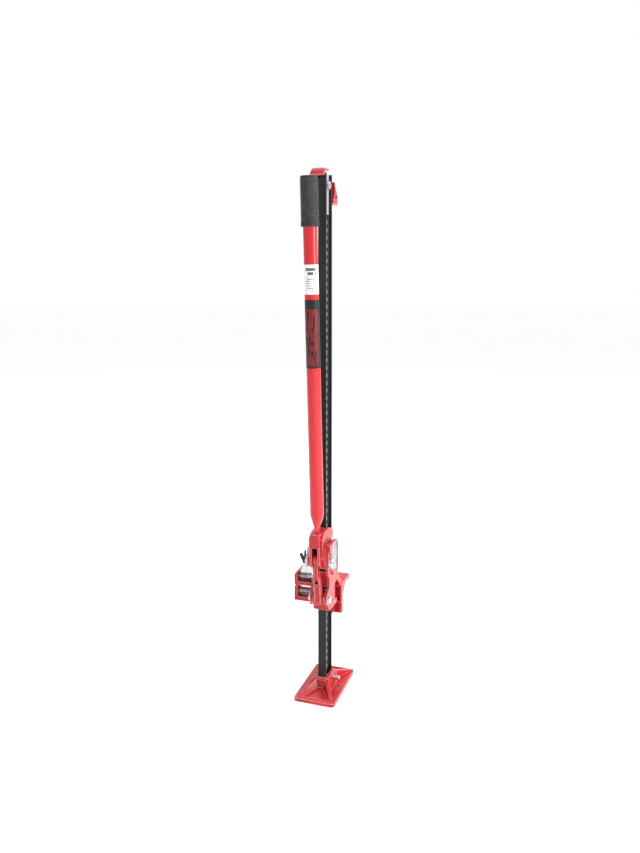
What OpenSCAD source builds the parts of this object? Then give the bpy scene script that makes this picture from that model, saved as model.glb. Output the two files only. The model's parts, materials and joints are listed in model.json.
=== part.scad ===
// High-lift jack: a punched rack bar on a cast foot, with two runners that walk up it.
// +X points along the lifting toe, -X towards the handle, +Y towards the climbing pins, +Z up.
// The origin is the middle of the foot's underside, on the axis of the rack bar.

/* [Rack] */
// Height of the top of the rack bar above the ground
bar_top = 1222; // [1216:1:1230]
// Depth of the rack bar, from the handle side to the toe side
bar_depth = 46; // [45:0.5:46]
// Width of the rack bar across its flanges
bar_width = 20; // [19:0.5:20]
// Thickness of each flange of the rack bar
flange_t = 5.5; // [5:0.5:6]
// Thickness of the web of the rack bar
web_t = 6; // [5:0.5:6]
// Distance from one climbing hole to the next
pitch = 18; // [18:1:18]
// Diameter of a climbing hole
hole_d = 12.7; // [12.7:0.1:13]
// Number of climbing holes
hole_count = 60; // [58:1:61]

/* [Foot] */
// Length of the foot, along the toe
foot_l = 170; // [164:2:180]
// Width of the foot
foot_w = 98; // [94:2:104]
// Thickness of the foot's rim
foot_t = 7; // [6:0.5:8]
// Height of the collar that holds the rack bar
collar_h = 35; // [34:0.5:36]
// Distance between the two anchor bolt holes
anchor_gap = 66; // [64:1:70]
// Diameter of an anchor bolt hole
anchor_d = 11; // [9:0.5:12]

/* [Runners] */
// Height of the lifting toe's top face
toe_z = 232; // [230:1:234]
// Reach of the lifting toe from the bar's axis
toe_x = 126; // [118:1:130]
// Width of the lifting toe
toe_w = 50; // [46:1:52]
// Height of the lower climbing pin
low_pin_z = 228; // [228:1:228]
// Diameter of a climbing pin
pin_d = 12; // [11.5:0.1:12]
// Diameter of the fulcrum pin that the handle turns on
fulcrum_d = 13; // [12:0.5:13]

/* [Handle] */
// Diameter of the handle tube
tube_d = 32; // [30:0.5:33]
// Wall of the handle tube
tube_wall = 2.5; // [2:0.25:3]
// Angle at which the stowed handle leans away from the bar
lean = 4.1; // [3.8:0.1:4.4]
// Diameter of the rubber grip
grip_d = 41; // [38:0.5:42]

/* [Hidden] */

$fn = 48;
bar_gap = 0.4;                  // running gap between the bar and the runners
in_x = bar_depth / 2 + bar_gap; // half the bar's passage, along X
in_y = bar_width / 2 + bar_gap; // half the bar's passage, along Y
first_hole = 48;                // height of the lowest climbing hole
high_pin_z = low_pin_z + 2 * pitch;
foot_pin_z = 26;
foot_pin_d = 9;
clamp_z = 1196;                 // height of the top clamp's bolt
clamp_d = 12;
sweep_r = 35.8;                 // clears the bar's top corners as the clamp swings
fulcrum = [-36, 316.5];         // x and z of the handle's pivot
crank = 25.3;                   // from the fulcrum to the link's head pin
crank_a = 141;                  // angle of the crank above +X, handle stowed
head = fulcrum + crank * [cos(crank_a), sin(crank_a)];
knee = [-40, 230];              // x and z of the link's foot pin
link_v = head - knee;
link_l = norm(link_v);
link_lean = atan2(-link_v[0], link_v[1]);
head_d = 9;
knee_d = 11;
slot_travel = 7.5;              // how far the head pin drifts in the link's slotted eye
cheek_in = 13.2;                // inner face of the large runner's arms
ear_out = 12.3;                 // outer face of the handle socket's ears
ear_in = 7;                     // inner face of those ears
arm_out = 17;                   // outer face of the large runner's arms
arm_z = 362;                    // underside of those arms and of the collar
socket_z = 366;                 // where the tube's axis starts, inside the socket
socket_x = -53.6;
tube_l = 834;                   // length of the tube along its own axis
flat_l = 29;                    // length of the tube's pressed end
flat_t = 9.5;
flat_w = 27;
taper_l = 46;                   // over which the pressed end grows into the round tube
grip_l = 111;
yoke_y = 72;                    // outer face of the spring yokes
yoke_t = 8;
yoke_x = [-17, 15];
latch_pin = [46, 292];          // y and z of the latch lever's pivot
roll_pin = [-54, 376];          // x and z of the pin that holds the tube in its socket
screw_x = 4.5;                  // x of the two screws that hold the latch bracket

// ---- helpers ----

// A block between two corners, each given as a [low, high] pair.
module block(x, y, z)
    translate([x[0], y[0], z[0]]) cube([x[1] - x[0], y[1] - y[0], z[1] - z[0]]);

// A round bar along Y, centred on p = [x, z].
module rod(p, r, y)
    translate([p[0], y[1], p[1]]) rotate([90, 0, 0]) cylinder(r = r, h = y[1] - y[0]);

// A plate along Y, whose outline is drawn in x and z.
module plate(y)
    translate([0, y[1], 0]) rotate([90, 0, 0]) linear_extrude(y[1] - y[0]) children();

// A plate along X, whose outline is drawn in y and z.
module plate_x(x)
    translate([x[0], 0, 0]) rotate([90, 0, 90]) linear_extrude(x[1] - x[0]) children();

// The solid that spans a few points.
module wedge(points)
    hull() for (p = points) translate(p) cube(0.02, center = true);

// A copy on each side of the plane y = 0.
module both_sides() {
    children();
    mirror([0, 1, 0]) children();
}

// The arc that rounds corner b between a and c.
function fillet(a, b, c, r, n = 5) =
    let (u = (a - b) / norm(a - b), v = (c - b) / norm(c - b), half = acos(u * v) / 2,
        mid = b + (u + v) / norm(u + v) * r / sin(half), p = b + u * r / tan(half) - mid,
        q = b + v * r / tan(half) - mid, a0 = atan2(p[1], p[0]), a1 = atan2(q[1], q[0]),
        turn = (a1 - a0 + 540) % 360 - 180)
    [for (i = [0 : n]) mid + r * [cos(a0 + turn * i / n), sin(a0 + turn * i / n)]];

// An outline with every corner rounded; r is one radius, or one for each corner.
function rounded(pts, r) = [for (i = [0 : len(pts) - 1])
    let (k = is_list(r) ? r[i] : r, m = len(pts))
    each (k > 0 ? fillet(pts[(i + m - 1) % m], pts[i], pts[(i + 1) % m], k) : [pts[i]])];

// Points of an arc about c.
function arc(c, r, a0, a1, n = 8) =
    [for (i = [0 : n]) let (a = a0 + (a1 - a0) * i / n) c + r * [cos(a), sin(a)]];

// A rectangle about the origin with rounded corners.
module slab(size, r)
    let (a = size[0] / 2, b = size[1] / 2)
        polygon(rounded([[-a, -b], [a, -b], [a, b], [-a, b]], r));

// A coil spring along +Y from y0 to y1, about the point p = [x, z].
module coil(p, r, wire, y0, y1, turns, steps = 14, sides = 6) {
    n = turns * steps;
    run = y1 - y0 - wire;
    ring = function (i) let (a = 360 * i / steps, y = y0 + wire / 2 + run * i / n)
        [for (k = [0 : sides - 1]) let (b = 360 * k / sides, w = r + wire / 2 * cos(b))
            [p[0] + w * cos(a), y + wire / 2 * sin(b), p[1] + w * sin(a)]];
    polyhedron(points = [for (i = [0 : n]) each ring(i)],
        faces = concat([[for (k = [0 : sides - 1]) k]],
            [for (i = [0 : n - 1], k = [0 : sides - 1])
                let (a = i * sides + k, b = i * sides + (k + 1) % sides) [a, a + sides, b + sides, b]],
            [[for (k = [sides - 1 : -1 : 0]) n * sides + k]]));
}

// A hexagon prism along Y.
module hexagon(p, flats, y)
    translate([p[0], y[1], p[1]]) rotate([90, 0, 0])
        cylinder(d = flats / cos(30), h = y[1] - y[0], $fn = 6);

// A split pin through a shaft along Z, its eye above, about the point c.
module split_pin(c, reach, wire = 2.6)
    translate(c) {
        translate([0, 0, -reach]) cylinder(d = wire, h = 2 * reach, $fn = 16);
        translate([0, 0, reach + 2.4]) rotate([90, 0, 0])
            rotate_extrude($fn = 24) translate([2.6, 0]) circle(d = wire * 0.8, $fn = 14);
        for (s = [-1, 1]) translate([0, 0, -reach]) rotate([0, s * 152, 0])
            cylinder(d = wire * 0.7, h = 8, $fn = 14);
    }

// Places its children in the handle tube's own frame, +Z along the tube.
module along_handle()
    translate([socket_x, 0, socket_z]) rotate([0, -lean, 0]) children();

// ---- rack and foot ----

module rack_bar() color("#1c1d20") difference() {
    a = bar_depth / 2;
    b = bar_width / 2;
    c = a - flange_t;
    d = web_t / 2;
    translate([0, 0, foot_t + 1]) linear_extrude(bar_top - foot_t - 1)
        polygon(rounded([[-a, -b], [-c, -b], [-c, -d], [c, -d], [c, -b], [a, -b],
            [a, b], [c, b], [c, d], [-c, d], [-c, b], [-a, b]],
            [1.5, 1, 2, 2, 1, 1.5, 1.5, 1, 2, 2, 1, 1.5]));
    for (i = [0 : hole_count - 1]) rod([0, first_hole + i * pitch], hole_d / 2, [-b, b]);
    rod([0, foot_pin_z], foot_pin_d / 2 + 0.05, [-b, b]);
    rod([0, clamp_z], clamp_d / 2 + 0.3, [-b, b]);
}

// The sloping block between the collar and one end of the foot.
module foot_end(s, top)
    wedge([for (y = [-1, 1], p = [[24, 15.5, 2], [24, 15.5, top], [foot_l / 2 - 3, foot_w / 2 - 4, 2],
        [foot_l / 2 - 3, foot_w / 2 - 4, foot_t + 1]]) [s * p[0], y * p[1], p[2]]]);

// The hollow in that block, which leaves a ridge to each corner.
module foot_hollow(s, top)
    wedge([for (y = [-1, 1], p = [[31, 13.5, top], [foot_l / 2 - 7, foot_w / 2 - 11, foot_t + 6],
        [37, 6, top * 0.4], [foot_l / 2 - 8, foot_w / 2 - 14, foot_t - 1]])
        [s * p[0], y * p[1], p[2]]]);

module foot_plate() color("#c8202b") difference() {
    toe_side_h = 30;
    union() {
        linear_extrude(foot_t) slab([foot_l, foot_w], 8);
        wedge([for (x = [-1, 1], y = [-1, 1], p = [[33, 24, foot_t - 1], [28.5, 16.5, collar_h]])
            [x * p[0], y * p[1], p[2]]]);
        foot_end(-1, collar_h);
        foot_end(1, toe_side_h);
        rod([0, foot_pin_z], 7.5, [-20, 21]);
    }
    foot_hollow(-1, collar_h + 1);
    foot_hollow(1, toe_side_h + 1);
    block([-in_x + 0.2, in_x - 0.2], [-in_y + 0.2, in_y - 0.2], [foot_t + 1, collar_h + 9]);
    block([in_x - 0.2, 40], [-30, 30], [toe_side_h, collar_h + 9]);
    rod([0, foot_pin_z], foot_pin_d / 2 + 0.05, [-40, 40]);
    for (s = [-1, 1]) translate([0, s * anchor_gap / 2, -1]) cylinder(d = anchor_d, h = foot_t + 12);
}

module foot_pin() color("#c9cbce") union() {
    rod([0, foot_pin_z], foot_pin_d / 2, [-36, 21.5]);
    rod([0, foot_pin_z], foot_pin_d / 2 - 0.8, [-37, -36]);
}

// ---- top clamp ----

module top_clamp() color("#c8202b") difference() {
    c = [0, clamp_z];
    union() {
        // cheeks on the climbing-pin side of the bar
        for (y = [[10.6, 15], [21.5, 26]])
            plate(y) polygon(concat(arc(c, 16, 200, 320), arc(c, 41.4, 10, 148, 14)));
        // crown that passes over the bar's top
        plate([-8, 26]) polygon(concat(arc(c, 41.4, 78, 148, 12), arc(c, sweep_r, 148, 78, 12)));
        // jaw that hangs on the toe side
        plate([-12, 26]) polygon(rounded([[36, 1208], [43, 1199], [56, 1180], [60, 1168], [56, 1155],
            [27, 1157], [27, 1164], [34, 1170], [38, 1184]], [0, 4, 8, 7, 5, 2, 2, 6, 8]));
        rod(c, 9, [10.6, 26]);
    }
    // slope of the crown towards the near side
    translate([-60, -8, 1233.6]) rotate([10, 0, 0]) translate([0, -20, 0]) cube([120, 80, 30]);
    // pocket in the jaw's near side
    plate([-13, -5]) polygon(rounded([[39, 1199], [44, 1192], [53, 1177], [55, 1169], [40, 1168],
        [42, 1184]], 1.5));
    rod(c, clamp_d / 2 + 0.05, [0, 30]);
}

module clamp_bolt() color("#c9cbce") union() {
    rod([0, clamp_z], clamp_d / 2, [-13, 27]);
    hexagon([0, clamp_z], 18, [26.2, 33]);
}

module clamp_washers() color("#d8dadd") difference() {
    rod([0, clamp_z], 12, [-5.7, -3.2]);
    rod([0, clamp_z], clamp_d / 2 + 0.05, [-20, 20]);
}

module clamp_nut() color("#c9cbce") difference() {
    hexagon([0, clamp_z], 18, [-11.4, -5.8]);
    rod([0, clamp_z], clamp_d / 2 + 0.02, [-20, 0]);
}

// ---- small runner ----

module small_runner() color("#c8202b") difference() {
    union() {
        block([-28, 29.2], [-20, 20], [198, 208]);
        translate([0.6, 0, 198]) linear_extrude(50) slab([57.2, 34], 3);
        // ears that carry the link's foot pin
        both_sides() plate([13, 20]) polygon(concat(arc(knee, 12.5, 130, 275),
            [[-26, 205], [-10, 208], [-10, 249], [-32, 249]]));
        plate([-20, -13]) polygon([[-33, 210], [-23, 198], [9, 207], [9, 250], [-33, 250]]);
        // yoke of the lower climbing pin
        block(yoke_x, [16, yoke_y], [208, 217.5]);
        block(yoke_x, [yoke_y - yoke_t, yoke_y], [208, 242]);
        rod([0, low_pin_z], 11, [16, 23]);
        plate([16, 30]) polygon([[-28, 208], [-14, 208], [-14, 245.4], [-20, 245.4]]);
    }
    block([-in_x, in_x], [-in_y, in_y], [190, 260]);
    rod([0, low_pin_z], pin_d / 2 + 0.08, [5, 80]);
    rod(knee, knee_d / 2 + 0.05, [-30, 30]);
    for (s = [-1, 1]) rod([s * 12, 203], 3.02, [-30, 30]);
}

module link_foot_pin() color("#d2d4d7") difference() {
    union() {
        rod(knee, knee_d / 2, [-24, 27]);
        rod(knee, 8, [-26, -22]);
    }
    translate([knee[0], 24.4, knee[1] - 10]) cylinder(d = 2.8, h = 20, $fn = 16);
}

module link_foot_washers() color("#d8dadd") difference() {
    union() {
        rod(knee, 9.5, [-22, -20]);
        rod(knee, 9.5, [20, 22]);
    }
    rod(knee, knee_d / 2 + 0.05, [-30, 30]);
}

module link_foot_split_pin() color("#b9bbbe") split_pin([knee[0], 24.4, knee[1]], 7.5);

module runner_roll_pins() color("#d2d4d7") for (s = [-1, 1]) difference() {
    rod([s * 12, 203], 3, [-21.5, -11]);
    rod([s * 12, 203], 1.2, [-22, -10]);
}

// A climbing pin along Y from y0 to y1: stepped tip for the web, nub outside the yoke.
module climbing_pin(z, y0, y1) translate([0, y0, z]) rotate([-90, 0, 0]) difference() {
    rotate_extrude() polygon([[0, 0], [pin_d / 2 - 1.5, 0], [pin_d / 2, 1.5], [pin_d / 2, y1 - y0 - 2],
        [pin_d / 2 - 2, y1 - y0], [0, y1 - y0]]);
    translate([pin_d / 2 - 2.4, -pin_d, -1]) cube([pin_d, 2 * pin_d, 7]);
}

// The collar that the spring pushes on, with its cross pin.
module pin_collar(z, y0) {
    difference() {
        rod([0, z], 9, [y0, y0 + 5]);
        rod([0, z], pin_d / 2 + 0.03, [y0 - 1, y0 + 6]);
    }
}

module small_climbing_pin() color("#c9cbce") climbing_pin(low_pin_z, -7, 75);
module small_pin_collar() color("#a9abae") pin_collar(low_pin_z, 23.4);
module small_pin_spring() color("#d8dadd") coil([0, low_pin_z], 8, 2.2, 28.8, yoke_y - yoke_t - 0.4, 9);

// ---- large runner ----

module large_runner() color("#c8202b") difference() {
    union() {
        // collar round the bar at the top, sloped like the arms
        intersection() {
            translate([0, 0, arm_z]) linear_extrude(36) polygon(rounded([[-29.2, -arm_out], [9, -arm_out],
                [29, -9], [29, 9], [9, arm_out], [-29.2, arm_out]], 2));
            plate([-20, 20]) polygon([[-30, arm_z], [30, arm_z], [30, 374], [-20, 394], [-30, 393]]);
        }
        // arms that reach out past the handle socket and down to the fulcrum
        both_sides() plate([cheek_in, arm_out]) polygon(concat(arc(fulcrum, 14.5, 175, 300),
            [[-27, 312], [-36, 330], [-48, 346], [-51, arm_z], [0, arm_z], [8, 381], [-18, 393], [-48, 392],
            [-62, 387], [-68, 379], [-69, 364], [-64, 345]]));
        // sleeve round the bar at the climbing pin
        translate([2.5, 0, 254]) linear_extrude(44) slab([61, 36], 3);
        // cheeks between the sleeve and the fulcrum
        both_sides() plate([cheek_in, 22]) polygon(concat(arc(fulcrum, 14.5, 200, 300), [[-20, 262],
            [-6, 254], [31, 254], [31, 300], [10, 320], [-22, 330], [-44, 328]]));
        both_sides() plate([in_y, 18]) polygon([[-14, 290], [28, 290], [28, 320], [8, 344], [-14, 344]]);
        // shield on the near side, with a raised rim
        plate([-29, -20]) polygon(rounded([[-50, 298], [-46, 284], [7, 283], [12, 289], [12, 350],
            [5, 361], [-49, 361]], [6, 6, 4, 4, 5, 4, 3]));
        // thick edge of the shield beside the arm
        plate([-26, -cheek_in]) polygon([[-49, 304], [-40, 304], [-45, 361], [-49, 361]]);
        // boss of the fulcrum on the far side
        rod(fulcrum, 13.5, [arm_out - 1, 28]);
        // nose: channel open towards the bar, on a middle web
        block([30, 64], [-5, 5], [160, 262]);
        translate([0, 0, 160]) linear_extrude(68) polygon(rounded([[52, -25], [68, -25], [68, 25],
            [52, 25], [52, 19], [62, 19], [62, -19], [52, -19]], [2, 3, 3, 2, 2, 1, 1, 2]));
        block([52, 64], [-20, 20], [160, 189]);
        // lifting toe, with its hooked tip and gusset
        translate([0, 0, toe_z - 8]) linear_extrude(8) polygon(rounded([[52, -toe_w / 2],
            [toe_x, -toe_w / 2], [toe_x, toe_w / 2], [52, toe_w / 2]], [2, 6, 6, 2]));
        plate([-toe_w / 2, toe_w / 2]) polygon([[66, 226], [66, 205], [76, 211], [84, 222], [94, 225]]);
        plate([-toe_w / 2, toe_w / 2]) polygon([[toe_x - 9, 226], [toe_x, 226], [toe_x, 221], [toe_x - 5, 221]]);
        // shoulders that carry the toe from the sleeve
        both_sides() plate([9, 22]) polygon([[30, 290], [30, 252], [52, 228], [68, 224], [68, 232],
            [58, 241], [44, 252], [34, 272]]);
        // yoke of the upper climbing pin
        block(yoke_x, [20.5, yoke_y], [246, 254.5]);
        block(yoke_x, [17, 26], [250, 262]);
        plate_x(yoke_x) polygon(rounded([[yoke_y - yoke_t, 246], [yoke_y, 246], [yoke_y, 270],
            [yoke_y - 9, 283], [yoke_y - 13, 283], [yoke_y - yoke_t, 274]], [0, 2, 3, 1, 1, 2]));
        rod([0, high_pin_z], 11.5, [17, 27]);
        // skirt under the shield, over the small runner
        plate([-22, -17]) polygon([[-30, 300], [-33, 253], [34, 253], [31, 275]]);
    }
    block([-in_x, in_x], [-in_y, in_y], [240, 400]);
    // room for the handle socket to swing
    block([-90, -29.2], [-cheek_in, cheek_in], [270, 400]);
    rod(fulcrum, 13, [-cheek_in, cheek_in]);
    block([-29.3, -in_x + 0.1], [-cheek_in, cheek_in], [290, arm_z]);
    // recess in the shield
    plate([-31, -26.5]) polygon(rounded([[9, 288], [9, 349], [4, 358], [-30, 358], [-34, 340],
        [-34, 296]], [3, 3, 3, 4, 4, 4]));
    rod(fulcrum, 15, [-31, -25]);
    plate([-31, -25]) polygon([[-60, 278], [-24, 278], [-24, 300], [-33, 300], [-33, 334], [-60, 352]]);
    rod(fulcrum, fulcrum_d / 2 + 0.05, [-40, 40]);
    rod([0, high_pin_z], pin_d / 2 + 0.08, [5, 80]);
    for (y = [30, 40]) translate([-8, y, 240]) cylinder(d = 4.1, h = 10);
    for (z = [282, 292]) rod([screw_x, z], 2.55, [14, 30]);
}

module cheek_plate() color("#a9adb1") difference() {
    plate([-27.3, -26.5]) polygon(rounded([[8.7, 288.3], [8.7, 348.9], [3.8, 357.7], [-29.7, 357.7],
        [-33.7, 340], [-33.7, 296.3]], [3, 3, 3, 4, 4, 4]));
    rod(fulcrum, 15.3, [-31, -25]);
}

module fulcrum_pin() color("#d2d4d7") difference() {
    union() {
        rod(fulcrum, fulcrum_d / 2, [-28, 36]);
        rod(fulcrum, 11.5, [-30, -26.6]);
    }
    // driver slot across the head
    translate([fulcrum[0], 0, fulcrum[1]]) rotate([0, 21, 0]) block([-12, 12], [-31, -28.6], [-1.2, 1.2]);
    translate([fulcrum[0], 33, fulcrum[1] - 10]) cylinder(d = 2.8, h = 20, $fn = 16);
}

module fulcrum_washers() color("#d8dadd") difference() {
    union() {
        rod(fulcrum, 13.5, [-26.6, -25]);
        rod(fulcrum, 11.5, [28, 30]);
    }
    rod(fulcrum, fulcrum_d / 2 + 0.05, [-40, 40]);
}

module fulcrum_split_pin() color("#b9bbbe") split_pin([fulcrum[0], 33, fulcrum[1]], 8.5);

module latch_bracket() color("#d8dadd") difference() {
    union() {
        plate_x([-11, -1]) polygon(rounded([[23, 298], [23, 278], [57, 274.5], [57, 281], [50.5, 287],
            [50.5, 299], [41.5, 299], [38, 293]], [1, 2, 2, 2, 3, 4, 4, 4]));
        block([-11, 9], [22, 25.5], [277, 298]);
    }
    for (z = [282, 292]) rod([screw_x, z], 2.55, [20, 40]);
    block([-8.6, -3.4], [39.5, 53], [283, 320]);
    translate([-20, latch_pin[0], latch_pin[1]]) rotate([0, 90, 0]) cylinder(d = 4.1, h = 40);
}

module latch_bracket_screws() color("#b9bbbe") for (z = [282, 292]) union() {
    rod([screw_x, z], 2.5, [15, 27]);
    hexagon([screw_x, z], 8, [25.5, 28.5]);
}

module latch_leaf_spring() color("#b4b8bb")
    plate_x([0, 1.2]) polygon(rounded([[36, 279], [47, 279], [47, 305], [45, 336], [36, 336],
        [35, 305]], 1.5));

module large_climbing_pin() color("#c9cbce") climbing_pin(high_pin_z, 3.6, 76.5);
module large_pin_collar() color("#a9abae") pin_collar(high_pin_z, 36);
module large_pin_spring() color("#d8dadd") coil([0, high_pin_z], 8, 2.2, 41.4, yoke_y - yoke_t - 0.4, 7);

module latch_lever() color("#26272a") translate([0, latch_pin[0], latch_pin[1]]) difference() {
    plate_x([-8.2, -3.8]) polygon(rounded([[-3, -4], [3, -4], [6, 2], [10, 12], [16, 23], [14, 29],
        [10, 27], [5, 18], [4, 36], [0.5, 36], [0, 16], [-4, 2]], [2, 2, 3, 5, 2, 2, 2, 1, 1.5, 1.5, 3, 2]));
    translate([-20, 0, 0]) rotate([0, 90, 0]) cylinder(d = 4.08, h = 40);
}

module latch_pivot() color("#c9cbce") translate([-13, latch_pin[0], latch_pin[1]]) rotate([0, 90, 0]) {
    cylinder(d = 4, h = 12.8);
    cylinder(d = 7, h = 2);
}

// ---- handle ----

module handle_socket() color("#c8202b") difference() {
    union() {
        // mouth that the tube's pressed end drops into
        translate([-55, 0, 361]) linear_extrude(31) slab([46, 2 * ear_out], 4);
        // ears that hang either side of the link and carry both pins
        both_sides() plate([ear_in, ear_out]) polygon(concat(arc(fulcrum, 11, -90, 60),
            [[-32, 362], [-78, 362], [-77, 330], [-72, 318], [-63, 310], [-50, 306]]));
    }
    along_handle() translate([0, 0, 1]) linear_extrude(60) slab([flat_w + 0.4, flat_t + 0.4], 4.9);
    // cups either side of the pressed tube
    for (s = [-1, 1]) translate([-72, s * 6.5, 385]) cylinder(d = 8, h = 20);
    block([-100, -30], [-ear_in, ear_in], [300, 361]);
    rod(fulcrum, fulcrum_d / 2 + 0.06, [-30, 30]);
    rod(head, head_d / 2 + 0.04, [-30, 30]);
    rod(roll_pin, 3.02, [-30, 30]);
}

module handle_tube() color("#c8202b") difference() {
    along_handle() difference() {
        union() {
            translate([0, 0, 1]) linear_extrude(flat_l) slab([flat_w, flat_t], 4.7);
            hull() {
                translate([0, 0, flat_l]) linear_extrude(0.5) slab([flat_w, flat_t], 4.7);
                translate([0, 0, flat_l + taper_l]) cylinder(d = tube_d, h = 0.5, $fn = 32);
            }
            translate([0, 0, flat_l + taper_l])
                cylinder(d = tube_d, h = tube_l - flat_l - taper_l, $fn = 64);
        }
        translate([0, 0, flat_l + taper_l + 4])
            cylinder(d = tube_d - 2 * tube_wall, h = tube_l, $fn = 64);
    }
    rod(roll_pin, 3.02, [-30, 30]);
}

module tube_end_plug() color("#2a2b2e") along_handle() translate([0, 0, tube_l - 12])
    cylinder(d = tube_d - 2 * tube_wall - 0.1, h = 12);

module handle_grip() color("#3a3c3f") along_handle() translate([0, 0, tube_l + 4 - grip_l]) rotate_extrude() {
    r = grip_d / 2;
    polygon(concat([[0, grip_l], [0, grip_l - 3.9], [tube_d / 2 + 0.05, grip_l - 3.9],
        [tube_d / 2 + 0.05, 0], [r - 0.8, 0], [r, 0.8], [r, 12], [r - 0.9, 13]],
        [for (i = [0 : 39], p = [[0, 0], [0.9, 0.6], [0.9, 1.6], [0, 2.2]])
            [r - 0.9 + p[0], 14 + i * 2.3 + p[1]]],
        [[r - 0.9, grip_l - 2], [r - 2.4, grip_l]]));
}

// A thin sleeve round the tube between two distances from the socket.
module tube_label(z0, z1) along_handle() translate([0, 0, z0]) difference() {
    cylinder(d = tube_d + 0.5, h = z1 - z0, $fn = 64);
    translate([0, 0, -1]) cylinder(d = tube_d + 0.04, h = z1 - z0 + 2, $fn = 64);
}

module plain_label() color("#e8e9ea") tube_label(578, 644);
module striped_label() color("#17171a") tube_label(412, 566);

module socket_roll_pin() color("#b9bbbe") difference() {
    rod(roll_pin, 3, [-ear_out - 0.3, ear_out + 0.3]);
    rod(roll_pin, 1.4, [-20, 20]);
}

module link_head_pin() color("#d2d4d7") rod(head, head_d / 2, [-ear_out - 0.4, ear_out + 0.4]);

// ---- link ----

module link() color("#c8202b") translate([knee[0], 0, knee[1]]) rotate([0, -link_lean, 0]) difference() {
    union() {
        rod([0, 0], 10, [-8.6, 8.6]);
        // wishbone: two legs that close into a neck, seen from the handle side
        plate_x([-16, -4]) polygon(rounded([[-8.6, -7], [8.6, -7], [8.6, 44], [4.6, 66], [4.2, link_l],
            [-4.2, link_l], [-4.6, 66], [-8.6, 44]], [3, 3, 8, 8, 0, 0, 8, 8]));
        plate([-8.6, 8.6]) polygon([[-16, 0], [-9, -4.4], [0, -10], [0, 10], [-4, 20], [-16, 20]]);
        // slotted eye at the head pin
        plate([-5, 5]) polygon(concat(arc([0, link_l], 9.6, -90, 90), arc([-slot_travel, link_l], 9.6, 90, 270)));
        plate([-4.2, 4.2]) polygon([[-16, 70], [-4, 70], [4, link_l - 6], [-12, link_l - 4]]);
    }
    // triangular window and the hollow face below it
    plate_x([-20, 10]) polygon(rounded([[-6, 44], [6, 44], [0.8, 62], [-0.8, 62]], 0.5));
    plate_x([-17, -14]) polygon(rounded([[-5.6, 0], [5.6, 0], [5.6, 38], [-5.6, 38]], 1));
    // slot: room for the head pin's drift
    plate([-9, 9]) polygon(concat(arc([0, link_l], 5.7, -90, 90, 14),
        arc([-slot_travel, link_l], 5.7, 90, 270, 14)));
    rod([0, 0], knee_d / 2 + 0.06, [-20, 20]);
}

rack_bar();
foot_plate();
foot_pin();
clamp_bolt();
clamp_washers();
clamp_nut();
top_clamp();
small_runner();
link_foot_pin();
link_foot_washers();
link_foot_split_pin();
runner_roll_pins();
small_climbing_pin();
small_pin_collar();
small_pin_spring();
large_runner();
cheek_plate();
fulcrum_pin();
fulcrum_washers();
fulcrum_split_pin();
latch_bracket();
latch_bracket_screws();
latch_leaf_spring();
large_climbing_pin();
large_pin_collar();
large_pin_spring();
latch_lever();
latch_pivot();
handle_socket();
handle_tube();
tube_end_plug();
handle_grip();
plain_label();
striped_label();
socket_roll_pin();
link_head_pin();
link();
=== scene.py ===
# %% [markdown]
# # Dressing a high-lift jack
# The frame comes from the CAD model: every part is already at its true size and place.
# Here each part gets rounded edges, a finish with real detail, and a studio to stand in.
# Nothing is moved, because the joints need every part exactly where the frame has it.
# The record in the frame also says which body each part rides on and which finish it takes.

import json
import math

import bpy
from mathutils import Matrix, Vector


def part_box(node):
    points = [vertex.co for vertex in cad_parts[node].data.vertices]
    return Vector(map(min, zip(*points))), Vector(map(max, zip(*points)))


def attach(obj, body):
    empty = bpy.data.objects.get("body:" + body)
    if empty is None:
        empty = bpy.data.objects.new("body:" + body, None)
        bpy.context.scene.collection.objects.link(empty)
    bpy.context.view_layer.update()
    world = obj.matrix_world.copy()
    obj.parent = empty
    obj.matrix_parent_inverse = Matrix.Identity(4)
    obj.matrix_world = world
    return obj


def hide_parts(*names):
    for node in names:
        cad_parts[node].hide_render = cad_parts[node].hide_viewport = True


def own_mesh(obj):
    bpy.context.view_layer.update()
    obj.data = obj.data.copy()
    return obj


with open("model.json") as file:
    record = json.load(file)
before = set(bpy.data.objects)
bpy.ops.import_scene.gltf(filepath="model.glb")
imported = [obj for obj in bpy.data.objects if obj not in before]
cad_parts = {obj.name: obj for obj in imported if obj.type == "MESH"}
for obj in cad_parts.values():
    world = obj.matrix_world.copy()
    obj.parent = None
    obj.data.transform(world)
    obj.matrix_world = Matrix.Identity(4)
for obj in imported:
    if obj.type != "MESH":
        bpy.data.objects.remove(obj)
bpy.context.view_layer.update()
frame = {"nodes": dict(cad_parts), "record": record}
nodes = frame["nodes"]
slot_of = {row["node"]: row["material_slot"] for row in frame["record"]["subparts"]}
body_of = {n: b for b, names in frame["record"]["behaviour"]["bodies"].items() for n in names}

MM = 0.001

# %% [markdown]
# ## Writing shader maths as plain sums
# A material is a web of nodes, and each sum in it is one Math node. Wiring those by hand hides
# the idea, so a small class wraps a node's output, and +, -, *, / and < on it add the node.
# The sums that start with a plain number, such as 1 - wear, need the reflected forms.


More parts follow.
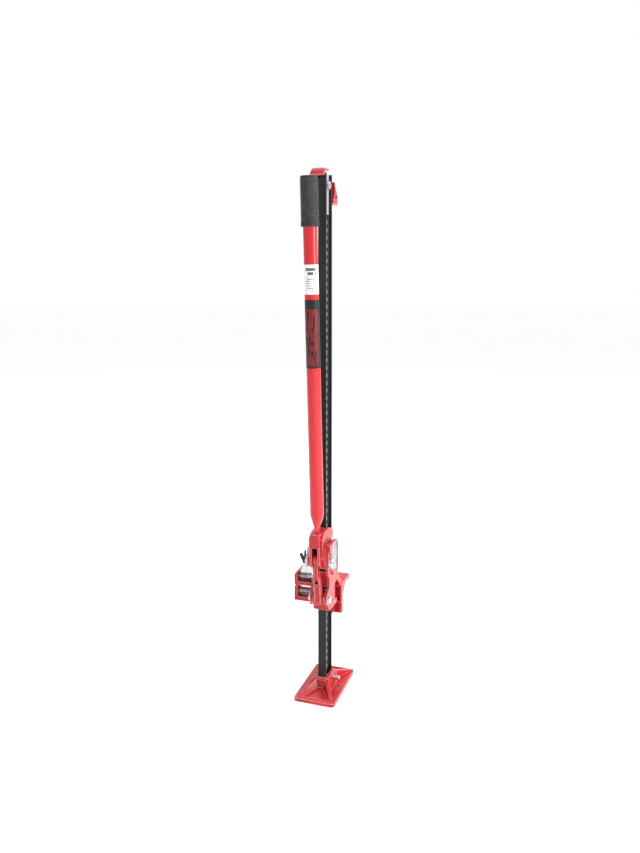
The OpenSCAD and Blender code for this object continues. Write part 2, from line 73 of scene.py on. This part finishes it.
# %% A wire carries a value between nodes
class Wire:
    def __init__(self, finish, socket):
        self.finish, self.socket = finish, socket

    def sum(self, operation, first, second):
        return self.finish.add("ShaderNodeMath", {"operation": operation}, {0: first, 1: second})

    def __add__(self, other):
        return self.sum("ADD", self, other)

    def __sub__(self, other):
        return self.sum("SUBTRACT", self, other)

    def __rsub__(self, other):
        return self.sum("SUBTRACT", other, self)

    def __mul__(self, other):
        return self.sum("MULTIPLY", self, other)

    def __truediv__(self, other):
        return self.sum("DIVIDE", self, other)

    def __lt__(self, other):
        return self.sum("LESS_THAN", self, other)

    def __gt__(self, other):
        return self.sum("GREATER_THAN", self, other)

    def __mod__(self, other):
        return self.sum("FLOORED_MODULO", self, other)

    def __abs__(self):
        return self.sum("ABSOLUTE", self, 0.0)

    __radd__, __rmul__ = __add__, __mul__


print("sums on wires ready")

# %% [markdown]
# A second class holds one finish while it is being made. Its add() makes any node from the
# node's type, its settings and its sockets. The shorter calls under it are for the nodes that
# every finish uses: a noise, a ramp from black to white, a mix of two colours, and a bump.
# edges() finds outside corners, by comparing the true normal with one that a Bevel node rounds.

# %% A finish is one material under construction
EDGE_STOPS = [(0.004, 0.0), (0.09, 1.0)]


class Finish:
    def __init__(self, name):
        self.material = bpy.data.materials.new(name)
        self.material.use_nodes = True
        self.tree = self.material.node_tree
        self.tree.nodes.clear()
        self.out = self.tree.nodes.new("ShaderNodeOutputMaterial")

    def add(self, kind, settings=None, sockets=None, out=0):
        made = self.tree.nodes.new(kind)
        for key, value in (settings or {}).items():
            if key == "stops":
                while len(made.color_ramp.elements) < len(value):
                    made.color_ramp.elements.new(1.0)
                for stop, (place, shade) in zip(made.color_ramp.elements, value):
                    stop.position, stop.color = place, (shade, shade, shade, 1)
            else:
                setattr(made, key, value)
        for key, value in (sockets or {}).items():
            if isinstance(value, Wire):
                self.tree.links.new(value.socket, made.inputs[key])
            else:
                made.inputs[key].default_value = value
        return Wire(self, made.outputs[out])

    def place(self):
        return self.add("ShaderNodeTexCoord", out="Object")

    def split(self, vector):
        parts = self.add("ShaderNodeSeparateXYZ", sockets={0: vector}).socket.node
        return [Wire(self, parts.outputs[i]) for i in range(3)]

    def noise(self, scale, detail=3.0, stretch=None):
        where = self.place()
        if stretch:
            where = self.add("ShaderNodeMapping", sockets={"Vector": where, "Scale": stretch})
        return self.add("ShaderNodeTexNoise",
                        sockets={"Vector": where, "Scale": scale, "Detail": detail})

    def ramp(self, value, stops):
        return self.add("ShaderNodeValToRGB", {"stops": stops}, {0: value})

    def mix(self, share, first, second):
        return self.add("ShaderNodeMix", {"data_type": "RGBA"},
                        {0: share, 6: first, 7: second}, out=2)

    def bump(self, height, distance, strength):
        return self.add("ShaderNodeBump", sockets={"Height": height, "Distance": distance,
                                                   "Strength": strength})

    def edges(self, width):
        """1 along outside corners within width, 0 on open faces."""
        soft = self.add("ShaderNodeBevel", {"samples": 6}, {"Radius": width})
        true = self.add("ShaderNodeNewGeometry", out="Normal")
        alike = self.add("ShaderNodeVectorMath", {"operation": "DOT_PRODUCT"},
                         {0: soft, 1: true}, out=1)
        return self.ramp(1.0 - alike, EDGE_STOPS)

    def surface(self, sockets):
        shader = self.add("ShaderNodeBsdfPrincipled", sockets=sockets)
        self.tree.links.new(shader.socket, self.out.inputs["Surface"])
        return self.material


def colour(r, g, b):
    return (r, g, b, 1.0)


print("shader helpers ready")

# %% [markdown]
# ## Red enamel on castings
# The foot, runners, link and clamp are cast iron dipped in red enamel. A paler red is painted
# along the corners as a highlight, where the paint is also thinner, and the sand-cast skin shows
# through it as a faint orange peel. Two noises, one broad and one fine, give tone and skin.

# %% Red enamel
CAST_EDGE = 2.8 * MM
CAST_SKIN = 0.35 * MM


def red_enamel():
    f = Finish("red_enamel")
    broad, fine = f.noise(28.0, 4.0), f.noise(520.0, 3.0)
    edge = f.edges(CAST_EDGE) * f.ramp(f.noise(170.0, 4.0), [(0.30, 0.35), (0.60, 1.0)])
    body = f.mix(f.ramp(broad, [(0.36, 0.0), (0.66, 1.0)]), colour(0.38, 0.007, 0.012),
                 colour(0.54, 0.013, 0.020))
    # A paler red is painted along the corners: a painted highlight, where the paint is also
    # thinner.
    paint = f.mix(edge * 0.85, body, colour(0.96, 0.36, 0.37))
    return f.surface({
        "Base Color": paint, "Roughness": 0.24 + 0.16 * fine, "Coat Weight": 0.2,
        "Coat Roughness": 0.14, "Specular IOR Level": 0.35,
        "Normal": f.bump(fine + broad * 0.6, CAST_SKIN, 0.5)})


print("enamel pales within", CAST_EDGE / MM, "mm of a corner")

# %% [markdown]
# ## Gloss red on the drawn tube
# The tube is smoother than a casting, so its skin is finer. Faint lines run along it from the
# drawing die, which is a noise stretched along the tube's length by a Mapping node.

# %% Gloss red
ALONG_TUBE = (1.0, 1.0, 0.06)
TUBE_SKIN = 0.12 * MM


def red_gloss():
    f = Finish("red_gloss")
    drawn, skin = f.noise(90.0, 3.0, ALONG_TUBE), f.noise(260.0, 2.0)
    body = f.mix(drawn, colour(0.54, 0.012, 0.018), colour(0.66, 0.024, 0.030))
    return f.surface({
        "Base Color": body, "Roughness": 0.20 + 0.12 * drawn, "Coat Weight": 0.2,
        "Coat Roughness": 0.10, "Specular IOR Level": 0.35,
        "Normal": f.bump(skin + drawn * 0.5, TUBE_SKIN, 0.4)})


print("two reds ready")

# %% [markdown]
# ## Black enamel on the rack bar
# The bar is rolled, punched and dipped. A ring of bare steel round every hole is painted for the
# glints of light on the hole edges, and for wear where pins rub. The holes are evenly spaced, so
# the remainder of the height divided by the spacing says how far a point is from the nearest hole,
# with no list of places.

# %% Rack bar black
HOLE_PITCH, HOLES, HOLE_R = 18 * MM, 60, 6.35 * MM
HOLES_FROM = 48 * MM - HOLE_PITCH / 2
HOLES_TO = HOLES_FROM + HOLES * HOLE_PITCH
RING, RAGGED = 1.05 * MM, 0.9 * MM
# The last of these is the height above which a painted reflection lies on the web.
WEB_DEPTH, WEB_HALF, GLARE_FROM = 16.5 * MM, 3.6 * MM, 1129 * MM
BAR_EDGE, BAR_SKIN = 1.1 * MM, 0.22 * MM


def rack_black():
    f = Finish("rack_black")
    x, y, z = f.split(f.place())
    up = (z - HOLES_FROM) % HOLE_PITCH - HOLE_PITCH / 2
    reach = f.add("ShaderNodeMath", {"operation": "SQRT"}, {0: x * x + up * up})
    inside = (z > HOLES_FROM) * (z < HOLES_TO) * (abs(y) < WEB_HALF)
    scuff = f.noise(700.0, 4.0)
    # The bare ring round each hole is painted for the glints of light on the hole edges, and for
    # rubbed steel.
    ring = (reach + scuff * RAGGED < HOLE_R + RING) * inside
    broad, grain = f.noise(22.0, 4.0, (1.0, 1.0, 0.25)), f.noise(900.0, 2.0)
    # Light grey painted on the web above the top hole: a painted reflection of light off the
    # glossy web.
    web = (abs(x) < WEB_DEPTH) * (abs(y) < WEB_HALF) * (z > GLARE_FROM)
    edge = f.edges(BAR_EDGE) * f.ramp(f.noise(60.0, 5.0), [(0.45, 0.0), (0.62, 1.0)])
    paint = f.mix(broad, colour(0.005, 0.005, 0.006), colour(0.012, 0.012, 0.014))
    paint = f.mix(web * 0.9, paint, colour(0.40, 0.40, 0.41))
    paint = f.mix(edge * 0.5, paint, colour(0.16, 0.16, 0.17))
    paint = f.mix(ring, paint, colour(0.72, 0.72, 0.73))
    return f.surface({
        "Base Color": paint, "Metallic": ring * 0.9,
        "Roughness": 0.34 + 0.16 * broad + 0.08 * scuff, "Specular IOR Level": 0.35,
        "Normal": f.bump(grain + broad * 0.8, BAR_SKIN, 0.5)})


print("rack bar black ready, with", HOLES, "worn holes")

# %% [markdown]
# ## Bare and plated metals
# Turned pins are bright with fine rings round their axis; plated screws and wire are duller,
# with the mottled bloom of zinc; the cheek plate is ground along its length. All of them are
# one recipe with different colours, gloss and grain, so one function makes them all. The head
# of the fulcrum pin has a driver slot, whose floor is painted near-black as the shade in it.

# %% Metals
CORNER = 1.0 * MM
SLOT_HALF = 1.3 * MM
TURNED = 0.04 * MM


def metal(name, dark, light, rough, mottle, stretch, grain=900.0, wear=0.0, slot=None):
    """slot is (x, z, turn, y) of a driver slot whose floor is painted dark as shade, on a head
    that faces -Y.
    """
    f = Finish(name)
    bloom, lines = f.noise(mottle, 4.0), f.noise(grain, 2.0, stretch)
    skin = f.mix(f.ramp(bloom, [(0.35, 0.0), (0.65, 1.0)]), dark, light)
    if wear:
        skin = f.mix(f.edges(CORNER) * wear, skin, colour(0.86, 0.86, 0.87))
    if slot:
        at_x, at_z, turn, face = slot
        x, y, z = f.split(f.place())
        fall = (x - at_x) * math.sin(turn) + (z - at_z) * math.cos(turn)
        # The slot's floor is painted near-black: painted shade inside the slot.
        skin = f.mix((abs(fall) < SLOT_HALF) * (y < face), skin, colour(0.02, 0.02, 0.022))
    return f.surface({
        "Base Color": skin, "Metallic": 1.0, "Roughness": rough + 0.10 * bloom + 0.10 * lines,
        "Normal": f.bump(lines, TURNED, 0.4)})


ROUND_Y, EVEN, ALONG_Z = (1.0, 14.0, 1.0), (1.0, 1.0, 1.0), (8.0, 8.0, 0.25)
finishes = {
    "red_enamel": red_enamel(),
    "red_gloss": red_gloss(),
    "black_enamel": rack_black(),
    "bright_steel": metal("bright_steel", colour(0.44, 0.44, 0.45), colour(0.62, 0.62, 0.63),
                          0.20, 130.0, ROUND_Y, 300.0, 0.9),
    "zinc_plate": metal("zinc_plate", colour(0.50, 0.51, 0.53), colour(0.70, 0.71, 0.72),
                        0.26, 210.0, EVEN, wear=0.9),
    "zinc_wire": metal("zinc_wire", colour(0.55, 0.56, 0.58), colour(0.80, 0.80, 0.82),
                       0.22, 260.0, EVEN),
    "dark_steel": metal("dark_steel", colour(0.34, 0.35, 0.36), colour(0.50, 0.51, 0.52),
                        0.28, 160.0, ROUND_Y, 400.0, 0.6),
    "satin_aluminium": metal("satin_aluminium", colour(0.36, 0.37, 0.39),
                             colour(0.54, 0.55, 0.57), 0.34, 60.0, ALONG_Z, 420.0),
}
FULCRUM_SLOT = (-36 * MM, 316.5 * MM, math.radians(21), -28.2 * MM)
slotted_steel = metal("slotted_steel", colour(0.44, 0.44, 0.45), colour(0.62, 0.62, 0.63),
                      0.20, 130.0, ROUND_Y, 300.0, 0.9, FULCRUM_SLOT)
print("metals ready:", sorted(finishes))

# %% [markdown]
# ## Rubber, oxide and plastic
# The grip is moulded rubber: nearly black, dull, with dust caught in it. The lever has a black
# oxide skin rubbed grey on its corners, and the end plug is plain moulded plastic. They differ
# in tone, gloss, the depth of their grain and how far the corners are rubbed.

# %% Rubber, oxide and plastic
RUBBED = colour(0.20, 0.205, 0.21)


def dull_black(name, dark, light, rough, grain, depth, wear, corner=0.8 * MM):
    f = Finish(name)
    dust, skin = f.noise(75.0, 5.0), f.noise(grain, 3.0)
    body = f.mix(f.ramp(dust, [(0.40, 0.0), (0.72, 1.0)]), dark, light)
    body = f.mix(f.edges(corner) * wear, body, RUBBED)
    return f.surface({
        "Base Color": body, "Roughness": rough + 0.15 * skin, "Specular IOR Level": 0.3,
        "Normal": f.bump(skin, depth, 0.6)})


finishes["black_rubber"] = dull_black("grip_rubber", colour(0.022, 0.023, 0.025),
                                      colour(0.044, 0.046, 0.048), 0.58, 1400.0, 0.25 * MM, 0.6,
                                      1.0 * MM)
finishes["black_lever"] = dull_black("lever_oxide", colour(0.012, 0.012, 0.014),
                                     colour(0.030, 0.030, 0.032), 0.34, 800.0, 0.1 * MM, 0.6)
finishes["black_plastic"] = dull_black("plug_plastic", colour(0.020, 0.020, 0.022),
                                       colour(0.032, 0.032, 0.035), 0.42, 600.0, 0.15 * MM, 0.2)
print("dull blacks ready")

# %% [markdown]
# ## Two films wrapped round the tube
# Both films follow the leaning tube, so their pattern needs the tube's own directions. A
# Mapping node undoes the lean. After it, Z runs up the tube, and a little sum of X and Y says
# how far a point lies across the face that looks outwards. The white film carries plain grey
# bars and the black one plain red strokes, where a maker would print something. A grid of
# random cells breaks the bars and strokes, so that they look printed but say nothing.

# %% Tube frame
TUBE_FOOT = Vector((-53.6 * MM, 0, 366 * MM))
LEAN = math.radians(-4.1)
TUBE_R = 16 * MM
ACROSS = (0.322, -0.947)
FILM_SKIN = 0.06 * MM


def tube_place(f):
    """Across, outwards and up, in metres, on the handle tube."""
    centred = f.add("ShaderNodeVectorMath", {"operation": "SUBTRACT"},
                    {0: f.place(), 1: TUBE_FOOT})
    upright = f.add("ShaderNodeMapping", sockets={"Vector": centred, "Rotation": (0, -LEAN, 0)})
    x, y, z = f.split(upright)
    return x * ACROSS[0] + y * ACROSS[1], x * ACROSS[1] - y * ACROSS[0], z


def stripe(value, low, high):
    return (value > low) * (value < high)


def broken(f, across, up, wide, tall, missing):
    """1 in most cells of a grid, and 0 in a share of them, so that a plain stripe has gaps."""
    column = f.add("ShaderNodeMath", {"operation": "FLOOR"}, {0: across / wide})
    row = f.add("ShaderNodeMath", {"operation": "FLOOR"}, {0: up / tall})
    cell = f.add("ShaderNodeCombineXYZ", sockets={0: column, 1: row})
    return f.add("ShaderNodeTexWhiteNoise", {"noise_dimensions": "3D"}, {0: cell}) > missing


print("the tube leans", round(-math.degrees(LEAN), 1), "degrees")

# %% White film
BLOCKS_FROM, BLOCKS_TO, BLOCK_PITCH = 621 * MM, 638 * MM, 9 * MM
LINES_FROM, LINES_TO, LINE_PITCH = 586 * MM, 617 * MM, 5 * MM


def rows(f, across, up, low, high, pitch, thick, cell, missing):
    """Rows of thickness thick between two heights, broken into cells."""
    bars = stripe(up, low, high) * stripe((up - low) % pitch, 0.0, thick)
    return bars * broken(f, across, up - low, cell, pitch, missing)


def white_film():
    f = Finish("white_film")
    across, outward, up = tube_place(f)
    front = (outward > 0.0) * stripe(across, -12 * MM, 12.5 * MM)
    blocks = rows(f, across, up, BLOCKS_FROM, BLOCKS_TO, BLOCK_PITCH, 6.5 * MM, 2.6 * MM, 0.26)
    lines = rows(f, across, up, LINES_FROM, LINES_TO, LINE_PITCH, 2.0 * MM, 1.6 * MM, 0.36)
    ink = (blocks * 0.95 + lines * 0.8) * front
    scuff = f.noise(150.0, 4.0)
    film = f.mix(scuff, colour(0.80, 0.80, 0.80), colour(0.90, 0.90, 0.89))
    film = f.mix(ink, film, colour(0.06, 0.06, 0.07))
    return f.surface({"Base Color": film, "Roughness": 0.30 + 0.18 * scuff,
                      "Coat Weight": 0.3, "Normal": f.bump(scuff, FILM_SKIN, 0.5)})


print("white film ready")

# %% Black film
STROKE_SIDE, STROKE_PITCH, STROKE_WIDTH = 13.5 * MM, 3.3 * MM, 1.7 * MM
STROKES_FROM, STROKES_TO, STROKE_CELL = 417 * MM, 545 * MM, 11 * MM


def black_film():
    f = Finish("black_film")
    across, outward, up = tube_place(f)
    front = (outward > 0.0) * stripe(across, -STROKE_SIDE, STROKE_SIDE)
    strokes = stripe((across + STROKE_SIDE) % STROKE_PITCH, 0.0, STROKE_WIDTH)
    strokes = strokes * broken(f, across + STROKE_SIDE, up, STROKE_PITCH, STROKE_CELL, 0.20)
    ink = strokes * stripe(up, STROKES_FROM, STROKES_TO) * front
    scuff = f.noise(150.0, 4.0)
    film = f.mix(scuff, colour(0.006, 0.005, 0.006), colour(0.014, 0.012, 0.013))
    film = f.mix(ink, film, colour(0.34, 0.012, 0.018))
    return f.surface({"Base Color": film, "Roughness": 0.30 + 0.18 * scuff,
                      "Specular IOR Level": 0.35, "Normal": f.bump(scuff, FILM_SKIN, 0.5)})


finishes["white_vinyl"], finishes["black_vinyl"] = white_film(), black_film()
print("films ready; finishes in all:", len(finishes))

# %% [markdown]
# ## Rounding what the foundry and the lathe round
# A CAD solid has edges as sharp as a knife, and no real casting does. A rounded edge catches a
# thin line of light, which is most of what makes metal look real. Each part is copied, its
# loose triangles are merged back into whole faces, and a Bevel modifier rounds the corners.

# %% Copy a part with rounded edges
SMOOTH_ANGLE = math.radians(32)
SAME_POINT = 0.004 * MM
FLAT_ENOUGH = math.radians(0.6)
STRAY = 0.02 * MM


def select_only(piece):
    bpy.ops.object.select_all(action="DESELECT")
    piece.select_set(True)
    bpy.context.view_layer.objects.active = piece


def finish_piece(piece, node):
    """Gives a finished mesh a CAD node's finish and body, and hides that node."""
    piece.data.materials.clear()
    piece.data.materials.append(finishes[slot_of[node]])
    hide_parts(node)
    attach(piece, body_of[node])


def stands_out(piece, node):
    """How far a piece reaches outside its CAD node's box, in metres."""
    low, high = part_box(node)
    return max(max(low[i] - v.co[i], v.co[i] - high[i])
               for v in piece.data.vertices for i in range(3))


def rounded_copy(node, width, segments):
    piece = bpy.data.objects.new(node + "_finished", nodes[node].data.copy())
    bpy.context.scene.collection.objects.link(piece)
    select_only(piece)
    if piece.data.has_custom_normals:
        bpy.ops.mesh.customdata_custom_splitnormals_clear()
    bpy.ops.object.mode_set(mode="EDIT")
    bpy.ops.mesh.select_all(action="SELECT")
    bpy.ops.mesh.remove_doubles(threshold=SAME_POINT)
    bpy.ops.mesh.dissolve_limited(angle_limit=FLAT_ENOUGH)
    bpy.ops.object.mode_set(mode="OBJECT")
    bpy.ops.object.shade_smooth_by_angle(angle=SMOOTH_ANGLE)
    bevel = piece.modifiers.new("round", "BEVEL")
    bevel.width, bevel.segments = width * MM, segments
    bevel.limit_method, bevel.angle_limit = "ANGLE", SMOOTH_ANGLE
    bevel.use_clamp_overlap, bevel.loop_slide, bevel.harden_normals = True, True, True
    bpy.ops.object.modifier_apply(modifier="round")
    if stands_out(piece, node) > STRAY:
        print(node, "stands", round(stands_out(piece, node) / MM, 2), "mm outside its CAD box")
    finish_piece(piece, node)
    return piece


print("corners sharper than", round(math.degrees(SMOOTH_ANGLE)), "degrees are rounded")

# %% [markdown]
# Castings get a generous round, turned pins a small break of the edge, and thin films hardly
# any. The width has to stay under half of the thinnest wall, or the two rounds would cross.

# %% Round every part
ROUNDS = {
    3: {1.3: ["foot_plate"],
        1.1: ["large_runner", "small_runner", "handle_socket"],
        0.9: ["link", "top_clamp"]},
    2: {0.45: ["rack_bar", "latch_lever", "latch_bracket"],
        0.35: ["foot_pin", "clamp_bolt", "clamp_nut", "link_foot_pin", "fulcrum_pin",
               "link_head_pin", "small_climbing_pin", "large_climbing_pin",
               "small_pin_collar", "large_pin_collar", "latch_bracket_screws"],
        0.25: ["clamp_washers", "link_foot_washers", "fulcrum_washers", "runner_roll_pins",
               "latch_pivot", "latch_leaf_spring", "cheek_plate", "tube_end_plug",
               "socket_roll_pin"],
        0.06: ["plain_label", "striped_label"],
        0.10: ["link_foot_split_pin", "fulcrum_split_pin"]}}
finished = {}
for segments, widths in ROUNDS.items():
    for width, names in widths.items():
        for node in names:
            finished[node] = rounded_copy(node, width, segments)
finished["fulcrum_pin"].data.materials[0] = slotted_steel
print("rounded", len(finished), "parts,",
      sum(len(piece.data.polygons) for piece in finished.values()), "faces")

# %% [markdown]
# ## Coil springs
# A spring is one round section swept along a helix, which is just what the Screw modifier
# does: a small circle beside the axis turns round it and moves along it. The open ends are
# then closed, and the whole coil is put on its climbing pin.

# %% Wind a spring
WIRE, WIRE_SIDES, STEPS_PER_TURN = 2.2 * MM, 12, 28
WIRE_SMOOTH = math.radians(50)


def wound_spring(node, turns):
    low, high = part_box(node)
    middle = (low + high) / 2
    radius = (high.x - low.x - WIRE) / 2
    bpy.ops.object.select_all(action="DESELECT")
    bpy.ops.mesh.primitive_circle_add(vertices=WIRE_SIDES, radius=WIRE / 2)
    coil = bpy.context.object
    coil.name = node + "_finished"
    bpy.ops.object.mode_set(mode="EDIT")
    bpy.ops.transform.translate(value=(radius, 0, 0))
    bpy.ops.object.mode_set(mode="OBJECT")
    screw = coil.modifiers.new("wind", "SCREW")
    screw.axis, screw.iterations = "Y", turns
    screw.steps = screw.render_steps = STEPS_PER_TURN
    screw.screw_offset = (high.y - low.y - WIRE) / turns
    bpy.ops.object.modifier_apply(modifier="wind")
    bpy.ops.object.mode_set(mode="EDIT")
    bpy.ops.mesh.select_all(action="SELECT")
    bpy.ops.mesh.fill_holes(sides=0)
    bpy.ops.mesh.select_all(action="SELECT")
    bpy.ops.mesh.normals_make_consistent(inside=False)
    bpy.ops.object.mode_set(mode="OBJECT")
    start = min(v.co.y for v in coil.data.vertices)
    coil.location = (middle.x, low.y - start, middle.z)
    bpy.ops.object.transform_apply(location=True, rotation=True, scale=True)
    bpy.ops.object.shade_smooth_by_angle(angle=WIRE_SMOOTH)
    finish_piece(coil, node)
    return coil


springs = {node: wound_spring(node, turns)
           for node, turns in (("small_pin_spring", 8), ("large_pin_spring", 6))}
print({node: len(coil.data.polygons) for node, coil in springs.items()}, "faces")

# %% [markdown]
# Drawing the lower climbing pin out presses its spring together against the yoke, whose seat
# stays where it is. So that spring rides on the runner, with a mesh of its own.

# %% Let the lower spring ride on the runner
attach(springs["small_pin_spring"], "small_runner_body")
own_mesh(springs["small_pin_spring"])

# %% [markdown]
# ## Drawing ring by ring
# Tube and grip are both round things whose outline changes along their length. A circle is
# extruded from height to height, and each new ring is scaled to its own width. The piece is
# drawn upright at the origin, and then leant and moved to where the handle stands.

# %% Draw through rings
RING_SIDES = 64
RING_SMOOTH = math.radians(40)


def draw_rings(node, rings):
    """Each ring is its height and its half widths along X and Y; both ends are closed."""
    height, wide, deep = rings[0]
    bpy.ops.object.select_all(action="DESELECT")
    bpy.ops.mesh.primitive_circle_add(vertices=RING_SIDES, radius=wide, location=(0, 0, 0))
    piece = bpy.context.object
    piece.name = node + "_finished"
    bpy.ops.object.mode_set(mode="EDIT")
    bpy.ops.mesh.select_all(action="SELECT")
    bpy.ops.transform.translate(value=(0, 0, height))
    for next_height, next_wide, next_deep in rings[1:]:
        bpy.ops.mesh.extrude_region_move(
            TRANSFORM_OT_translate={"value": (0, 0, next_height - height)})
        bpy.ops.transform.resize(value=(next_wide / wide, next_deep / deep, 1),
                                 center_override=(0, 0, next_height))
        height, wide, deep = next_height, next_wide, next_deep
    bpy.ops.mesh.select_all(action="SELECT")
    bpy.ops.mesh.fill_holes(sides=0)
    bpy.ops.mesh.select_all(action="SELECT")
    bpy.ops.mesh.normals_make_consistent(inside=False)
    bpy.ops.object.mode_set(mode="OBJECT")
    piece.rotation_euler = (0, LEAN, 0)
    piece.location = TUBE_FOOT
    bpy.ops.object.transform_apply(location=True, rotation=True, scale=True)
    bpy.ops.object.shade_smooth_by_angle(angle=RING_SMOOTH)
    finish_piece(piece, node)
    return piece


print("rings have", RING_SIDES, "sides")

# %% [markdown]
# ## The handle tube
# The tube starts as round stock, and its end is pressed flat to fit the socket. The press
# leaves a smooth swelling from flat to round, which the rings follow with an S-shaped curve.

# %% Draw the tube
TUBE_L, FLAT_L, TAPER_L = 834 * MM, 27 * MM, 46 * MM
FLAT_X, FLAT_Y = 13.4 * MM, 4.7 * MM
TAPER_STEPS = 14


def tube_ring(height, share):
    """A ring of the tube where share goes from 0, pressed, to 1, round."""
    swell = share * share * (3 - 2 * share)
    return height, FLAT_X + (TUBE_R - FLAT_X) * swell, FLAT_Y + (TUBE_R - FLAT_Y) * swell


tube_rings = [tube_ring(TUBE_L, 1.0)]
tube_rings += [tube_ring(FLAT_L + TAPER_L * i / TAPER_STEPS, i / TAPER_STEPS)
               for i in range(TAPER_STEPS, -1, -1)]
tube_rings += [tube_ring(2 * MM, 0.0)]
draw_rings("handle_tube", tube_rings)
print("tube drawn through", len(tube_rings), "rings")

# %% [markdown]
# ## The grip
# A moulded rubber sleeve, closed at the top, with a plain band at its lower end and ribs that
# a wet glove can hold. The rings start at the blind end of the bore, run down inside, turn
# round the lower lip, and climb the ribs to the closed top.

# %% Draw the grip
GRIP_L, GRIP_R, GROOVE_R = 111 * MM, 20.5 * MM, 19.3 * MM
BORE_R, BORE_TOP = 16.05 * MM, 107.1 * MM
RIBS, RIB_PITCH, FIRST_RIB = 21, 4.4 * MM, 14 * MM
grip_foot = TUBE_L + 4 * MM - GRIP_L
profile = [(BORE_TOP, BORE_R), (0, BORE_R), (0, GRIP_R - 0.8 * MM), (0.8 * MM, GRIP_R),
           (12 * MM, GRIP_R), (13 * MM, GROOVE_R)]
for i in range(RIBS):
    profile += [(FIRST_RIB + i * RIB_PITCH + rise * MM, radius)
                for rise, radius in ((0, GROOVE_R), (0.5, GRIP_R), (2.3, GRIP_R), (2.8, GROOVE_R))]
profile += [(GRIP_L - 3 * MM, GROOVE_R), (GRIP_L - 1 * MM, GRIP_R - 1.3 * MM),
            (GRIP_L, GRIP_R - 2.4 * MM)]
grip = draw_rings("handle_grip", [(grip_foot + h, r, r) for h, r in profile])
select_only(grip)
soft = grip.modifiers.new("soften", "BEVEL")
soft.width, soft.segments, soft.limit_method = 0.2 * MM, 2, "ANGLE"
soft.angle_limit, soft.harden_normals = RING_SMOOTH, True
bpy.ops.object.modifier_apply(modifier="soften")
print("grip has", RIBS, "ribs and", len(grip.data.polygons), "faces")

# %% [markdown]
# ## The studio's floor
# The jack stands on a wide pale floor. It glows a little, as a light table does, so that the
# shadow under the foot stays soft and the floor is as bright as the room behind it.

# %% Pale floor
FLOOR_SIZE, FLOOR_Z, FLOOR_GLOW = 80.0, -0.5 * MM, 0.32


def pale_floor():
    f = Finish("pale_floor")
    haze = f.noise(3.0, 3.0)
    tone = f.mix(haze, colour(0.91, 0.91, 0.92), colour(0.94, 0.94, 0.94))
    material = f.surface({"Base Color": tone, "Roughness": 0.6 + 0.1 * haze,
                          "Specular IOR Level": 0.2, "Emission Color": tone,
                          "Emission Strength": FLOOR_GLOW})
    bpy.ops.object.select_all(action="DESELECT")
    bpy.ops.mesh.primitive_plane_add(size=FLOOR_SIZE, location=(0, 0, FLOOR_Z))
    floor = bpy.context.object
    floor.name = "floor"
    floor.data.materials.append(material)


pale_floor()
print("floor laid,", FLOOR_SIZE, "m wide")

# %% [markdown]
# ## The room
# A white room lights everything evenly and hides every shape. So the room is white on the
# toe's side and dimmer on the handle's side: faces that look that way stay deep red, and the
# corners between them stay crisp. A Map Range node turns the direction into the brightness.

# %% Pale room
DIM, BRIGHT = 0.38, 1.0
DIM_AT, BRIGHT_AT = -0.6, 0.5
world = bpy.data.worlds.new("pale_room")
bpy.context.scene.world = world
world.use_nodes = True
sky, links = world.node_tree.nodes, world.node_tree.links
heading = sky.new("ShaderNodeTexCoord")
split = sky.new("ShaderNodeSeparateXYZ")
brightness = sky.new("ShaderNodeMapRange")
for name, value in (("From Min", DIM_AT), ("From Max", BRIGHT_AT),
                    ("To Min", DIM), ("To Max", BRIGHT)):
    brightness.inputs[name].default_value = value
links.new(heading.outputs["Generated"], split.inputs[0])
links.new(split.outputs["X"], brightness.inputs["Value"])
links.new(brightness.outputs["Result"], sky["Background"].inputs["Strength"])
sky["Background"].inputs["Color"].default_value = colour(1.0, 1.0, 1.0)
print("room from", DIM, "to", BRIGHT)

# %% [markdown]
# ## Soft lights
# The strongest light is wide and stands on the side away from the climbing pins, which makes
# the flat cheeks pale and bright. A weak one on the handle's side, one overhead and one from
# behind soften what it leaves dark. Wide discs give long, soft highlights on enamel and tube.

# %% Place the lights
TARGET = Vector((0, 0, 0.45))


def soft_light(name, place, size, watts):
    light = bpy.data.lights.new(name, "AREA")
    light.shape, light.size, light.energy = "DISK", size, watts
    lamp = bpy.data.objects.new(name, light)
    bpy.context.scene.collection.objects.link(lamp)
    lamp.location = place
    lamp.rotation_euler = (TARGET - Vector(place)).to_track_quat("-Z", "Y").to_euler()
    print(name, "gives", watts, "W")


soft_light("side_soft", (-0.4, -3.0, 1.6), 1.8, 82.0)
soft_light("front_soft", (-3.0, 1.2, 1.8), 1.6, 13.0)
soft_light("top_soft", (0.4, -0.6, 3.3), 1.8, 50.0)
soft_light("back_soft", (2.4, 1.8, 2.2), 1.4, 20.0)

# %% [markdown]
# ## Camera
# The camera stands beyond the handle, a little to one side, at about the height of the
# handle's upper half, and looks towards the toe. A small shift of the lens frames the whole
# bar while the camera stays almost level, so the bar's edges stay nearly upright.

# %% Camera
CAMERA_AT = (-1.65293, -0.54981, 0.94817)
YAW, PITCH = 0.32805, -0.04403
FOCAL, SHIFT_Y = 31.2407, -0.12


def camera():
    lens = bpy.data.cameras.new("camera")
    lens.sensor_fit, lens.sensor_width = "AUTO", 36.0
    lens.lens, lens.shift_y = FOCAL, SHIFT_Y
    lens.clip_start, lens.clip_end = 0.05, 50.0
    stand = bpy.data.objects.new("camera", lens)
    bpy.context.scene.collection.objects.link(stand)
    level = math.cos(PITCH)
    ahead = Vector((math.cos(YAW) * level, math.sin(YAW) * level, math.sin(PITCH)))
    stand.location = CAMERA_AT
    stand.rotation_euler = ahead.to_track_quat("-Z", "Y").to_euler()
    bpy.context.scene.camera = stand


camera()
bpy.context.scene.view_settings.view_transform = "Standard"
print("camera at", CAMERA_AT)
